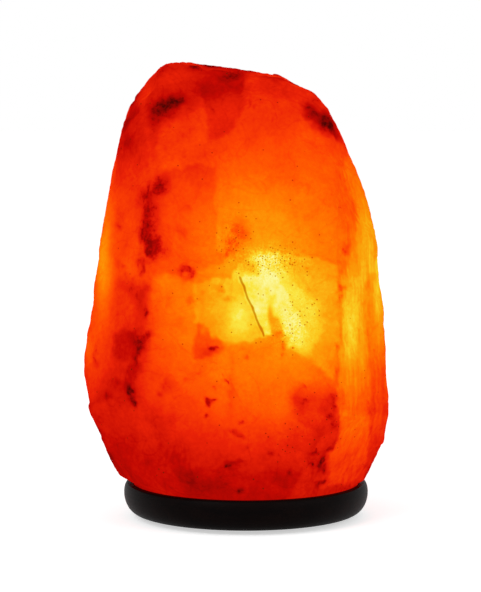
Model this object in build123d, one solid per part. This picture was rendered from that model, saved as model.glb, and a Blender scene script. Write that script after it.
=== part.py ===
from build123d import *

import math
import os

# A table lamp: a block of rock salt, split from a larger lump and hollowed from below, screwed to a turned
# wooden base. A small lampholder with a spring clip is pushed up the bore and carries a screw-in bulb.
# Everything is drawn about the lamp's own axis, with the table at TABLE_Z, and moved once, on export, so that
# the origin is on the table in the middle of the whole object's footprint. Millimetres, +Z up, the front of
# the lamp faces -Y.

AXIS_X = 4.8                # the lamp's axis stands this far to the right of the footprint's middle
TABLE_Z = 2.8

# Base: a turned disc with a full rounded edge and a shallow seat for the crystal.
BASE_R = 62.5
BASE_TOP_R = 60.5           # where the rounded edge meets the top
BASE_FOOT_R = 55.0          # where it meets the underside
BASE_BOTTOM = 4.8           # the feet lift it 2 mm off the table
BASE_TOP = 20.5
BASE_BULGE_Z = 15.5         # height of the widest point of the edge
SEAT_R = 58.0
SEAT_Z = 17.5               # floor of the seat, where the crystal stands
BORE_R = 25.0               # one bore through the base and up into the crystal

# Feet and their screws.
FOOT_R, FOOT_CIRCLE_R = 6.0, 40.0
FOOT_ANGLES = (45, 135, 225, 315)
FOOT_HOLE_R, FOOT_RECESS_R, FOOT_RECESS_Z = 1.4, 3.2, 3.9
FOOT_SCREW_R, FOOT_SCREW_HEAD_R, FOOT_SCREW_HEAD_Z, FOOT_SCREW_TOP = 1.25, 2.7, 3.0, 12.8

# Screws that hold the crystal down, and the nylon plugs they bite into.
SCREW_CIRCLE_R = 38.0
SCREW_ANGLES = (30, 150, 270)
SCREW_R, SCREW_HEAD_R, SCREW_HEAD_H, SCREW_TOP, SCREW_POINT = 2.0, 4.0, 2.2, 37.0, 3.0
PLUG_R, PLUG_TOP = 4.0, 42.5
FREE_FIT = 0.05             # gap round a screw or a plug in its hole
DRIVE_W, DRIVE_DEPTH = 0.8, 0.9     # the cross in every screw head

# Cord inlet at the back: a drilled hole with a rubber grommet in a spot-faced flat.
CORD_Z = 11.2
CORD_HOLE_R = 3.5
SPOT_R, SPOT_Y = 6.2, 60.0
GROMMET_R, GROMMET_L = 4.3, 9.6
FLANGE_R, FLANGE_T = 5.6, 1.6
GROMMET_BORE_R = 2.7

# Crystal. Its front outline (x, z) and side outline (y, z), anticlockwise from one corner of the foot.
CRYSTAL_TOP = 235.8
FRONT_OUTLINE = [
    (58, SEAT_Z), (61.5, 25), (66.5, 33), (70, 45), (72.3, 60), (72.3, 80), (70.8, 98), (67.8, 126), (66, 150),
    (58, 176), (51, 191.5), (42.3, 211), (34.5, 219), (13, 230.3), (-26, 234.4), (-36.5, CRYSTAL_TOP),
    (-43.5, 232.5), (-54.2, 221.5), (-60.5, 210.5), (-66, 190), (-74.6, 137), (-81.8, 90), (-81.9, 80),
    (-78.6, 60), (-71, 41), (-65, 27), (-58, SEAT_Z),
]
SIDE_OUTLINE = [
    (56, SEAT_Z), (60, 36), (63, 70), (62, 115), (54, 172), (38, 215), (18, 233), (-8, CRYSTAL_TOP),
    (-30, 216), (-48, 174), (-58, 128), (-63, 78), (-62, 40), (-57, SEAT_Z),
]
# Cleavage faces: azimuth from the front towards the right, elevation, distance from CRYSTAL_CENTRE.
CRYSTAL_CENTRE = Vector(-4, 0, 118)
CLEAVAGE = [
    (2, -9, 72), (-4, -1, 62.5), (7, 7, 59), (-17, 16, 66), (-10, 36, 79.5), (24, 30, 78),
    (49, 4.7, 72.7), (62, 21, 79), (44, -24, 93), (123, 3, 76), (138, 24, 80), (132, -22, 92),
    (-50, 10.3, 69.5), (-38, -16, 87), (-62, 30, 91), (-128, 5, 75), (-140, 27, 84), (-130, -21, 91),
    (176, -7, 71), (188, 3, 61), (166, 12, 62), (200, 20, 70), (172, 38, 80), (180, -28, 92),
]
# Flake scars, spread over the block on a spiral of golden angles. Each is the shallow bite of a large ball.
SCARS = 60
SCAR_SINES = (-0.78, 0.92)                  # of the elevations at which the spiral begins and ends
SCAR_R, SCAR_R_SWING = 50, 20
SCAR_DEPTH, SCAR_DEPTH_SWING = 0.9, 0.5
# The foot is chipped round to drop into the seat, then runs out to the crystal's full width.
FOOT_PROFILE = [(0, SEAT_Z), (57.2, SEAT_Z), (57.4, 20.9), (66, 26), (90, 60), (100, 240), (0, 240)]
CHAMBER_TOP = 136.0         # flat end of the core-drilled bore, above the bulb

# Lampholder: phenolic cap and barrel round a ceramic core, heights from the floor.
CAP_BOTTOM, CAP_TOP = 24.0, 42.0
HOLDER_R = 13.5
CAP_BORE_R = 11.7
CABLE_R = 3.6
SPIGOT_BOTTOM, SPIGOT_R, SPIGOT_BORE_R = 38.0, 11.6, 10.6
BARREL_TOP, BARREL_LIP_Z, BARREL_LIP_R, BARREL_EDGE = 78.0, 76.5, 8.2, 1.5
CORE_R, CORE_BOTTOM, CORE_TOP = 11.5, 44.0, 53.0
CAP_FLUTES, FLUTE_R, FLUTE_LOW, FLUTE_HIGH = 18, 0.6, 32.5, 41.0

# Screw thread of the small bulb cap, drawn as rings at the real pitch.
PITCH = 2.822
BULB_CREST_R, BULB_ROOT_R = 6.9, 6.35
SHELL_CREST_R, SHELL_ROOT_R, SHELL_WALL = 7.05, 7.45, 0.35
SHELL_THREAD_Z, SHELL_TOP = 55.0, 75.5
SHELL_FLANGE_R, SHELL_FLANGE_T = 3.9, 0.5

# Contacts and their small screws.
STRIP_T, STRIP_W, TAIL_W = 0.4, 4.0, 3.0
CONTACT_TOP, CONTACT_R, CONTACT_TAIL_R = 54.8, 1.5, 1.0
TAIL_Y, TAIL_T, SLOT_GAP = 8.3, 0.5, 0.1
TERMINAL_Y, TERMINAL_R, TERMINAL_HEAD_R, TERMINAL_HEAD_H, TERMINAL_TOP = 6.5, 1.2, 2.2, 1.7, 50.0
CORE_SCREW_X, CORE_SCREW_R, CORE_SCREW_HEAD_R, CORE_SCREW_HEAD_H = 5.4, 0.9, 1.3, 0.9
CORE_SCREW_BOTTOM = 47.5

# Spring clip: a band on the barrel with a wing at each side.
BAND_R, BAND_T, BAND_LOW, BAND_HIGH = 13.55, 0.8, 50.0, 58.0
RIVET_R, RIVET_HEAD_R, RIVET_HEAD_T = 1.2, 2.2, 0.8
WING_WIDTH, WING_T = 12.0, 0.8
WING_LINE = [(14.9, 55.6), (14.9, 53.0), (23.45, 38.8), (23.45, 34.4), (17.4, 23.2), (17.8, 19.6)]
WING_BENDS = [2.0, 3.0, 3.0, 2.0]

# Bulb: a small pear-shaped lamp.
TIP_Z, TIP_TOP, TIP_R, TIP_FACE_R = 55.0, 56.2, 2.3, 1.6
INSULATOR_TOP, INSULATOR_R = 59.6, 6.0
BULB_CAP_BOTTOM, THREAD_END, BULB_CAP_TOP = 58.6, 73.2, 80.0
SKIRT_R, GLASS_NECK_R, GLASS_WALL = 7.3, 6.6, 0.7
GLASS_BOTTOM, GLASS_R, GLASS_WIDE_Z, GLASS_TOP = 75.0, 13.8, 101.0, 118.0
FLARE_BOTTOM, PINCH_TOP, PINCH_R = 76.0, 86.0, 3.2
STEM_TOP, STEM_R, BUTTON_Z, BUTTON_R = 98.5, 1.2, 96.9, 1.8
FILAMENT_R, FILAMENT_Z, FILAMENT_WIRE_R, FILAMENT_ARC = 7.5, 100.8, 0.25, 300.0
LEAD_X, WIRE_R = 2.0, 0.3
SUPPORT_ANGLES = (0, 90, 180)

BOTTOM_UP = (Align.CENTER, Align.CENTER, Align.MIN)


def rod(radius, low, high, x=0.0, y=0.0):
    """An upright cylinder between two heights."""
    return Pos(x, y, low) * Cylinder(radius, high - low, align=BOTTOM_UP)


def rod_between(start, end, radius):
    """A straight cylinder from one point to another."""
    run = Vector(*end) - Vector(*start)
    return Plane(origin=start, z_dir=run) * Cylinder(radius, run.length, align=BOTTOM_UP)


def block(x_range, y_range, z_range):
    """A rectangular block between limits along each axis."""
    size = [high - low for low, high in (x_range, y_range, z_range)]
    middle = [(high + low) / 2 for low, high in (x_range, y_range, z_range)]
    return Pos(*middle) * Box(*size)


def polyline_edges(points):
    """The straight edges that join a run of points, not closed."""
    return [Line(a, b) for a, b in zip(points, points[1:])]


def turned(edges):
    """A solid of revolution about the lamp's axis from a closed chain of edges drawn as (radius, height)."""
    return revolve(Plane.XZ * make_face(Wire(edges)), Axis.Z)


def turned_outline(points):
    """A solid of revolution from a closed run of straight edges."""
    return turned(polyline_edges(points + points[:1]))


def on_circle(radius, angles):
    """Points on a circle about the axis."""
    return [(radius * math.cos(math.radians(a)), radius * math.sin(math.radians(a))) for a in angles]


def cross_drive(x, y, face_z, width):
    """The cross that a driver fits, cut upwards into a head whose face looks down."""
    arm = (face_z - 1.0, face_z + DRIVE_DEPTH)
    half, slot = width / 2, DRIVE_W / 2
    along_x = block((x - half, x + half), (y - slot, y + slot), arm)
    return along_x + block((x - slot, x + slot), (y - half, y + half), arm)


def direction(azimuth, elevation):
    """A unit vector from radians, its azimuth counted from the front towards the right."""
    level = math.cos(elevation)
    return Vector(math.sin(azimuth) * level, -math.cos(azimuth) * level, math.sin(elevation))


def crystal_faces():
    """Every flat face of the block as its outward normal and its distance from the centre."""
    faces = []
    for outline, across in ((FRONT_OUTLINE, Vector(1, 0, 0)), (SIDE_OUTLINE, Vector(0, 1, 0))):
        corners = [across * side + Vector(0, 0, height) for side, height in outline]
        for start, end in zip(corners, corners[1:] + corners[:1]):
            edge = end - start
            normal = (across * edge.Z - Vector(0, 0, edge.dot(across))).normalized()
            faces.append((normal, (start - CRYSTAL_CENTRE).dot(normal)))
    for azimuth, elevation, distance in CLEAVAGE:
        faces.append((direction(math.radians(azimuth), math.radians(elevation)), distance))
    return faces


def scar_balls(faces):
    """The balls that bite the flake scars, each over the face that its ray from the centre meets first."""
    low, high = SCAR_SINES
    balls = []
    for i in range(SCARS):
        ray = direction(math.radians(137.508 * i), math.asin(low + (high - low) * (i + 0.5) / SCARS))
        reach, nearest = min((d / ray.dot(n), k) for k, (n, d) in enumerate(faces) if ray.dot(n) > 0.01)
        radius = SCAR_R + SCAR_R_SWING * math.sin(3.1 * i)
        depth = SCAR_DEPTH + SCAR_DEPTH_SWING * math.sin(2.3 * i)
        centre = CRYSTAL_CENTRE + ray * reach + faces[nearest][0] * (radius - depth)
        balls.append(Pos(*centre) * Sphere(radius))
    return balls


def salt_crystal():
    """The split block, cut face by face from a blank, with its scars, a chipped round foot and a bore."""
    faces = crystal_faces()
    crystal = block((-100, 100), (-100, 100), (0, CRYSTAL_TOP + 10))
    for normal, distance in faces:
        cut = Plane(origin=CRYSTAL_CENTRE + normal * distance, z_dir=normal)
        crystal = split(crystal, bisect_by=cut, keep=Keep.BOTTOM)
    crystal = crystal & turned_outline(FOOT_PROFILE)
    for ball in scar_balls(faces):
        crystal -= ball
    crystal -= rod(BORE_R, SEAT_Z - 1, CHAMBER_TOP)
    for x, y in on_circle(SCREW_CIRCLE_R, SCREW_ANGLES):
        crystal -= rod(PLUG_R + FREE_FIT, SEAT_Z - 1, PLUG_TOP + FREE_FIT, x, y)
    return crystal


def screw_plugs():
    """Nylon plugs cemented into the crystal's foot, each bored for its screw."""
    plugs = [
        rod(PLUG_R, SEAT_Z, PLUG_TOP, x, y) - rod(SCREW_R + FREE_FIT, SEAT_Z - 1, PLUG_TOP - 3, x, y)
        for x, y in on_circle(SCREW_CIRCLE_R, SCREW_ANGLES)
    ]
    return Compound(plugs)


def crystal_screws():
    """Countersunk screws, driven up through the base into the plugs."""
    head_top = BASE_BOTTOM + SCREW_HEAD_H
    shape = turned_outline([
        (0, BASE_BOTTOM), (SCREW_HEAD_R, BASE_BOTTOM), (SCREW_R, head_top),
        (SCREW_R, SCREW_TOP - SCREW_POINT), (0.4, SCREW_TOP), (0, SCREW_TOP),
    ])
    shape -= cross_drive(0, 0, BASE_BOTTOM, 1.2 * SCREW_HEAD_R)
    return Compound([Pos(x, y) * shape for x, y in on_circle(SCREW_CIRCLE_R, SCREW_ANGLES)])


def wood_base():
    """The turned disc with its seat, bore, screw holes and the cord's way out at the back."""
    rim = []
    for flat_r, flat_z, start in ((BASE_FOOT_R, BASE_BOTTOM, 270), (BASE_TOP_R, BASE_TOP, 0)):
        middle = (flat_r, BASE_BULGE_Z)
        radii = BASE_R - flat_r, abs(flat_z - BASE_BULGE_Z)
        rim.append(EllipticalCenterArc(middle, *radii, start_angle=start, arc_size=90))
    top = [(BASE_TOP_R, BASE_TOP), (SEAT_R, BASE_TOP), (SEAT_R, SEAT_Z), (BORE_R, SEAT_Z)]
    bottom = [(BORE_R, SEAT_Z), (BORE_R, BASE_BOTTOM), (BASE_FOOT_R, BASE_BOTTOM)]
    base = turned(rim + polyline_edges(top) + polyline_edges(bottom))
    base -= rod_between((0, BORE_R / 2, CORD_Z), (0, BASE_R, CORD_Z), CORD_HOLE_R)
    base -= rod_between((0, SPOT_Y - GROMMET_L, CORD_Z), (0, BASE_R, CORD_Z), GROMMET_R)
    base -= rod_between((0, SPOT_Y, CORD_Z), (0, BASE_R + 5, CORD_Z), SPOT_R)
    head_top = BASE_BOTTOM + SCREW_HEAD_H
    gap = FREE_FIT
    sink = turned_outline([
        (0, BASE_BOTTOM - 1), (SCREW_HEAD_R + gap, BASE_BOTTOM - 1), (SCREW_HEAD_R + gap, BASE_BOTTOM),
        (SCREW_R + gap, head_top), (SCREW_R + gap, BASE_TOP), (0, BASE_TOP),
    ])
    for x, y in on_circle(SCREW_CIRCLE_R, SCREW_ANGLES):
        base -= Pos(x, y) * sink
    for x, y in on_circle(FOOT_CIRCLE_R, FOOT_ANGLES):
        base -= rod(FOOT_SCREW_R + gap, BASE_BOTTOM - 1, FOOT_SCREW_TOP + gap, x, y)
    return base


def rubber_feet():
    """Round pads with a recess that hides the screw head."""
    feet = []
    for x, y in on_circle(FOOT_CIRCLE_R, FOOT_ANGLES):
        foot = rod(FOOT_R, TABLE_Z, BASE_BOTTOM, x, y)
        foot -= rod(FOOT_HOLE_R, TABLE_Z - 1, BASE_BOTTOM + 1, x, y)
        foot -= rod(FOOT_RECESS_R, TABLE_Z - 1, FOOT_RECESS_Z, x, y)
        feet.append(foot)
    return Compound(feet)


def foot_screws():
    """Pan-head wood screws through the pads."""
    shape = rod(FOOT_SCREW_HEAD_R, FOOT_SCREW_HEAD_Z, FOOT_RECESS_Z)
    shape += rod(FOOT_SCREW_R, FOOT_RECESS_Z, FOOT_SCREW_TOP)
    shape -= cross_drive(0, 0, FOOT_SCREW_HEAD_Z - 0.4, 1.2 * FOOT_SCREW_HEAD_R)
    return Compound([Pos(x, y) * shape for x, y in on_circle(FOOT_CIRCLE_R, FOOT_ANGLES)])


def cord_grommet():
    """A rubber sleeve with a flange that lies on the spot-faced flat."""
    inner, outer = SPOT_Y - GROMMET_L, SPOT_Y + FLANGE_T
    grommet = rod_between((0, inner, CORD_Z), (0, SPOT_Y, CORD_Z), GROMMET_R)
    grommet += rod_between((0, SPOT_Y, CORD_Z), (0, outer, CORD_Z), FLANGE_R)
    return grommet - rod_between((0, inner - 1, CORD_Z), (0, outer + 1, CORD_Z), GROMMET_BORE_R)


def holder_cap():
    """The domed lower half of the lampholder, with the cable's hole and a fluted grip."""
    cap = turned_outline([
        (CABLE_R, CAP_BOTTOM), (6.5, CAP_BOTTOM), (9.6, 25.4), (12.2, 28.4), (HOLDER_R, 32), (HOLDER_R, CAP_TOP),
        (CAP_BORE_R, CAP_TOP), (CAP_BORE_R, 33), (10.6, 29.6), (8.4, 27.2), (CABLE_R, 26),
    ])
    for x, y in on_circle(HOLDER_R, [360 / CAP_FLUTES * i for i in range(CAP_FLUTES)]):
        cap -= rod(FLUTE_R, FLUTE_LOW, FLUTE_HIGH, x, y)
    return cap


def holder_barrel():
    """The upper half: a spigot that screws into the cap, a shoulder for the core and a lip round the bulb."""
    barrel = turned_outline([
        (SPIGOT_BORE_R, SPIGOT_BOTTOM), (SPIGOT_R, SPIGOT_BOTTOM), (SPIGOT_R, CAP_TOP), (HOLDER_R, CAP_TOP),
        (HOLDER_R, BARREL_TOP - BARREL_EDGE), (HOLDER_R - BARREL_EDGE, BARREL_TOP), (BARREL_LIP_R, BARREL_TOP),
        (BARREL_LIP_R, BARREL_LIP_Z), (CAP_BORE_R, BARREL_LIP_Z), (CAP_BORE_R, CORE_BOTTOM),
        (SPIGOT_BORE_R, CORE_BOTTOM),
    ])
    rivet_z = (BAND_LOW + BAND_HIGH) / 2
    return barrel - rod_between((0, -HOLDER_R - 1, rivet_z), (0, HOLDER_R + 1, rivet_z), RIVET_R + FREE_FIT)


def holder_core():
    """The ceramic puck that carries the contacts, drilled for their tails and screws."""
    core = rod(CORE_R, CORE_BOTTOM, CORE_TOP)
    core -= rod(CONTACT_TAIL_R + FREE_FIT, CORE_BOTTOM - 1, CORE_TOP + 1)
    core -= block(
        (-TAIL_W / 2 - SLOT_GAP, TAIL_W / 2 + SLOT_GAP),
        (TAIL_Y - SLOT_GAP, TAIL_Y + TAIL_T + SLOT_GAP),
        (CORE_BOTTOM - 1, CORE_TOP + 1),
    )
    for side in (-1, 1):
        core -= rod(TERMINAL_R + FREE_FIT, CORE_BOTTOM - 1, TERMINAL_TOP + 0.3, 0, side * TERMINAL_Y)
        core -= rod(CORE_SCREW_R + FREE_FIT, CORE_SCREW_BOTTOM - 0.3, CORE_TOP + 1, side * CORE_SCREW_X)
    return core


def ring_thread(crest_r, root_r, low, high):
    """Half-pitch zigzag of a thread's rings between two heights, as (radius, height) points."""
    count = round((high - low) / (PITCH / 2))
    return [(crest_r if i % 2 else root_r, low + (high - low) * i / count) for i in range(count + 1)]


def screw_shell():
    """The brass sleeve that the bulb screws into, with the flange that holds it on the core."""
    inside = ring_thread(SHELL_ROOT_R, SHELL_CREST_R, SHELL_THREAD_Z, SHELL_TOP)
    outside = [(r + SHELL_WALL, z) for r, z in reversed(inside)]
    flange_top = CORE_TOP + SHELL_FLANGE_T
    foot = [
        (SHELL_CREST_R + SHELL_WALL, CORE_TOP), (SHELL_FLANGE_R, CORE_TOP), (SHELL_FLANGE_R, flange_top),
        (SHELL_CREST_R, flange_top),
    ]
    shell = turned_outline(inside + outside + foot)
    for side in (-1, 1):
        shell -= rod(CORE_SCREW_R + FREE_FIT, CORE_TOP - 1, flange_top + 1, side * CORE_SCREW_X)
    return shell


def centre_contact():
    """The strip under the bulb's tip, its tail through the core and the tab to its terminal."""
    tab_low = CORE_BOTTOM - STRIP_T
    half = STRIP_W / 2
    contact = block((-half, half), (-3, 3), (CORE_TOP, CORE_TOP + STRIP_T))
    contact += rod(CONTACT_R, CORE_TOP + STRIP_T, CONTACT_TOP)
    contact += rod(CONTACT_TAIL_R, tab_low, CORE_TOP)
    contact += block((-half, half), (-TERMINAL_Y - half, 1.2), (tab_low, CORE_BOTTOM))
    return contact - rod(TERMINAL_R + FREE_FIT, tab_low - 1, CORE_BOTTOM + 1, 0, -TERMINAL_Y)


def shell_contact():
    """The strip from the screw shell's flange, down through the core to the other terminal."""
    tab_low = CORE_BOTTOM - STRIP_T
    half, tail = STRIP_W / 2, TAIL_W / 2
    outer = TAIL_Y + TAIL_T
    start = SHELL_CREST_R + SHELL_WALL + FREE_FIT
    contact = block((-tail, tail), (start, outer), (CORE_TOP, CORE_TOP + STRIP_T))
    contact += block((-tail, tail), (TAIL_Y, outer), (tab_low, CORE_TOP))
    contact += block((-half, half), (TERMINAL_Y - half, outer), (tab_low, CORE_BOTTOM))
    return contact - rod(TERMINAL_R + FREE_FIT, tab_low - 1, CORE_BOTTOM + 1, 0, TERMINAL_Y)


def terminal_screws():
    """The two screws that clamp the cord's wires under the core."""
    under = CORE_BOTTOM - STRIP_T
    screws = []
    for y in (-TERMINAL_Y, TERMINAL_Y):
        screw = rod(TERMINAL_HEAD_R, under - TERMINAL_HEAD_H, under, 0, y) + rod(TERMINAL_R, under, TERMINAL_TOP, 0, y)
        screws.append(screw - cross_drive(0, y, under - TERMINAL_HEAD_H, 1.2 * TERMINAL_HEAD_R))
    return Compound(screws)


def core_screws():
    """The two screws that hold the screw shell on the core, their heads inside the shell."""
    seat = CORE_TOP + SHELL_FLANGE_T
    return Compound([
        rod(CORE_SCREW_HEAD_R, seat, seat + CORE_SCREW_HEAD_H, x) + rod(CORE_SCREW_R, CORE_SCREW_BOTTOM, seat, x)
        for x in (-CORE_SCREW_X, CORE_SCREW_X)
    ])


def clip_band():
    """The spring clip's band round the barrel."""
    band = rod(BAND_R + BAND_T, BAND_LOW, BAND_HIGH) - rod(BAND_R, BAND_LOW - 1, BAND_HIGH + 1)
    rivet_z = (BAND_LOW + BAND_HIGH) / 2
    reach = BAND_R + BAND_T + 1
    return band - rod_between((0, -reach, rivet_z), (0, reach, rivet_z), RIVET_R + FREE_FIT)


def clip_rivets():
    """One rivet through the band and the barrel's wall at the front and one at the back."""
    rivet_z = (BAND_LOW + BAND_HIGH) / 2
    face = BAND_R + BAND_T
    rivets = []
    for side in (-1, 1):
        shank = rod_between((0, side * CAP_BORE_R, rivet_z), (0, side * face, rivet_z), RIVET_R)
        head = rod_between((0, side * face, rivet_z), (0, side * (face + RIVET_HEAD_T), rivet_z), RIVET_HEAD_R)
        rivets.append(shank + head)
    return Compound(rivets)


def clip_wing():
    """The right wing: a strip bent out to press on the bore, then in to a tab for the finger."""
    line = FilletPolyline(*WING_LINE, radius=WING_BENDS)
    return extrude(Plane.XZ * trace(line, line_width=WING_T), WING_WIDTH / 2, both=True)


def bulb_cap():
    """The bulb's threaded metal cap, a thin shell with a plain skirt round the glass neck."""
    bottom = [(INSULATOR_R, BULB_CAP_BOTTOM), (BULB_ROOT_R, BULB_CAP_BOTTOM)]
    thread = ring_thread(BULB_CREST_R, BULB_ROOT_R, BULB_CAP_BOTTOM + 0.5, THREAD_END)
    skirt = [
        (SKIRT_R - 0.4, THREAD_END + 0.6), (SKIRT_R, BULB_CAP_TOP), (GLASS_NECK_R, BULB_CAP_TOP),
        (GLASS_NECK_R, GLASS_BOTTOM), (INSULATOR_R, GLASS_BOTTOM),
    ]
    return turned_outline(bottom + thread + skirt)


def bulb_insulator():
    """The black glass cone between the cap and its tip."""
    return turned_outline([
        (0, TIP_TOP), (TIP_R, TIP_TOP), (INSULATOR_R, BULB_CAP_BOTTOM), (INSULATOR_R, INSULATOR_TOP),
        (0, INSULATOR_TOP),
    ])


def bulb_tip():
    """The solder contact."""
    return turned_outline([(0, TIP_Z), (TIP_FACE_R, TIP_Z), (TIP_R, TIP_Z + 0.6), (TIP_R, TIP_TOP), (0, TIP_TOP)])


def bulb_glass():
    """The pear-shaped envelope, of even wall."""
    neck_top = BULB_CAP_TOP
    edges = []
    for inset in (0.0, GLASS_WALL):
        neck, top = GLASS_NECK_R - inset, GLASS_TOP - inset
        edges.append(Line((neck, GLASS_BOTTOM), (neck, neck_top)))
        edges.append(Spline(
            (neck, neck_top), (GLASS_R - inset - 4.6, 87), (GLASS_R - inset, GLASS_WIDE_Z), (0, top),
            tangents=[(0, 1), (-1, 0)],
        ))
    edges.append(Line((GLASS_NECK_R, GLASS_BOTTOM), (GLASS_NECK_R - GLASS_WALL, GLASS_BOTTOM)))
    edges.append(Line((0, GLASS_TOP), (0, GLASS_TOP - GLASS_WALL)))
    return turned(edges)


def bulb_stem():
    """The glass mount inside the envelope: a flare, the pinch that seals the wires and a rod with a button."""
    neck = GLASS_NECK_R - GLASS_WALL
    return turned_outline([
        (0, FLARE_BOTTOM), (neck, FLARE_BOTTOM), (neck, FLARE_BOTTOM + 1.2), (PINCH_R, FLARE_BOTTOM + 5),
        (PINCH_R, PINCH_TOP), (STEM_R, PINCH_TOP + 1.5), (STEM_R, BUTTON_Z), (BUTTON_R, BUTTON_Z + 0.5),
        (BUTTON_R, STEM_TOP - 0.5), (BUTTON_R - 0.5, STEM_TOP), (0, STEM_TOP),
    ])


def filament_ends():
    """Where the filament's arc begins and ends."""
    gap = 360 - FILAMENT_ARC
    return on_circle(FILAMENT_R, (270 + gap / 2, 270 - gap / 2))


def bulb_leads():
    """The two wires from the pinch out to the filament's ends."""
    leads = []
    for (x, y), side in zip(filament_ends(), (1, -1)):
        foot = (side * LEAD_X, 0, PINCH_TOP - 3)
        knee = (side * LEAD_X, 0, PINCH_TOP + 3)
        leads.append(rod_between(foot, knee, WIRE_R) + rod_between(knee, (x, y, FILAMENT_Z), WIRE_R))
    return Compound(leads)


def filament_supports():
    """Fine wires from the button that hold up the filament's arc."""
    start_z = (BUTTON_Z + STEM_TOP) / 2
    wires = []
    for angle in SUPPORT_ANGLES:
        (near_x, near_y), = on_circle(BUTTON_R - 0.6, [angle])
        (far_x, far_y), = on_circle(FILAMENT_R, [angle])
        wires.append(rod_between((near_x, near_y, start_z), (far_x, far_y, FILAMENT_Z), 0.6 * WIRE_R))
    return Compound(wires)


def bulb_filament():
    """The tungsten coil, drawn as one wire of the coil's outer size, bent round most of a circle."""
    section = Plane.XZ * Pos(FILAMENT_R, FILAMENT_Z) * Circle(FILAMENT_WIRE_R)
    start = 270 + (360 - FILAMENT_ARC) / 2
    return Rot(0, 0, start) * revolve(section, Axis.Z, revolution_arc=FILAMENT_ARC)


def main():
    right_wing = clip_wing()
    nodes = {
        "salt_crystal": salt_crystal(),
        "screw_plugs": screw_plugs(),
        "crystal_screws": crystal_screws(),
        "wood_base": wood_base(),
        "rubber_feet": rubber_feet(),
        "foot_screws": foot_screws(),
        "cord_grommet": cord_grommet(),
        "holder_cap": holder_cap(),
        "holder_barrel": holder_barrel(),
        "holder_core": holder_core(),
        "screw_shell": screw_shell(),
        "centre_contact": centre_contact(),
        "shell_contact": shell_contact(),
        "terminal_screws": terminal_screws(),
        "core_screws": core_screws(),
        "clip_band": clip_band(),
        "clip_rivets": clip_rivets(),
        "clip_wing_right": right_wing,
        "clip_wing_left": mirror(right_wing, about=Plane.YZ),
        "bulb_cap": bulb_cap(),
        "bulb_insulator": bulb_insulator(),
        "bulb_tip": bulb_tip(),
        "bulb_glass": bulb_glass(),
        "bulb_stem": bulb_stem(),
        "bulb_leads": bulb_leads(),
        "filament_supports": filament_supports(),
        "bulb_filament": bulb_filament(),
    }
    os.makedirs("parts", exist_ok=True)
    for name, shape in nodes.items():
        export_step(Pos(AXIS_X, 0, -TABLE_Z) * Compound(shape.solids()), f"parts/{name}.step")


main()
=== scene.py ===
import math

import bpy
import numpy as np
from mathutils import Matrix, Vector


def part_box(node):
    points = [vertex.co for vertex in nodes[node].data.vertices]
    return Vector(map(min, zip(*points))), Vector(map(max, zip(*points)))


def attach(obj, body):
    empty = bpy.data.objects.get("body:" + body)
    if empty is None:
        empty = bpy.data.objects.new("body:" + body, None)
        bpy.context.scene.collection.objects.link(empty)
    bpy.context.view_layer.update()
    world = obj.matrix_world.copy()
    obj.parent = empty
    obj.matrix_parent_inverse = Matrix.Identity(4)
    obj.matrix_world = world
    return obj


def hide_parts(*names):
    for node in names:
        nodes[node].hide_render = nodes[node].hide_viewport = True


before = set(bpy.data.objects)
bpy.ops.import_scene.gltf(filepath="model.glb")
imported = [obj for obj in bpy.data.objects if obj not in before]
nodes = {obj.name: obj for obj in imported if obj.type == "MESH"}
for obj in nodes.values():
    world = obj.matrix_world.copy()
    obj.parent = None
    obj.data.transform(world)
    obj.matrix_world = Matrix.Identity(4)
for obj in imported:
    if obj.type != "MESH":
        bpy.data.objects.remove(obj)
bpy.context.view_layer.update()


# ---- The studio ------------------------------------------------------------------------------------------
# The lamp stands on a sheet of white paper in soft, even light, as for a catalogue picture. The camera is a
# metre and a half in front of it and looks down on it a little.
def add(tree, kind, inputs=None, **settings):
    """Adds a shader node: settings are its properties, inputs its sockets, each given a link or a value."""
    made = tree.nodes.new("ShaderNode" + kind)
    for name, value in settings.items():
        setattr(made, name, value)
    for socket, value in (inputs or {}).items():
        if isinstance(value, bpy.types.Node):
            value = value.outputs[0]
        if isinstance(value, bpy.types.NodeSocket):
            tree.links.new(value, made.inputs[socket])
        else:
            made.inputs[socket].default_value = value
    return made


def colour(code):
    """An sRGB hex value as a linear colour: each channel is undone with the sRGB curve."""
    channels = [int(code[i:i + 2], 16) / 255 for i in (1, 3, 5)]
    return [c / 12.92 if c <= 0.04045 else ((c + 0.055) / 1.055) ** 2.4 for c in channels] + [1.0]


def new_material(name):
    """A new material, its tree, and the place on the piece for its patterns, which is all the tree holds."""
    made = bpy.data.materials.new(name)
    made.use_nodes = True
    made.node_tree.nodes.clear()
    return made, made.node_tree, add(made.node_tree, "TexCoord").outputs["Object"]


def looked_at(tree):
    """1 for a ray from the eye, off a shiny face or through glass, and 0 for one that only carries light."""
    rays = add(tree, "LightPath")
    seen = add(tree, "Math", {0: rays.outputs["Is Camera Ray"], 1: rays.outputs["Is Glossy Ray"]},
               operation="MAXIMUM")
    return add(tree, "Math", {0: seen, 1: rays.outputs["Is Transmission Ray"]}, operation="MAXIMUM")


studio = bpy.context.scene
studio.view_settings.view_transform = "Standard"

CAMERA_DISTANCE, CAMERA_RISE, CAMERA_LENS = 1.5, math.radians(6), 179
CAMERA_AIM = (0.002, 0.0, 0.113)
camera = bpy.data.objects.new("camera", bpy.data.cameras.new("camera"))
camera.data.lens = CAMERA_LENS
camera.location = (
    CAMERA_AIM[0],
    CAMERA_AIM[1] - CAMERA_DISTANCE * math.cos(CAMERA_RISE),
    CAMERA_AIM[2] + CAMERA_DISTANCE * math.sin(CAMERA_RISE),
)
camera.rotation_euler = (math.pi / 2 - CAMERA_RISE, 0, 0)
camera.data.clip_start = 0.01
studio.collection.objects.link(camera)
studio.camera = camera

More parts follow.
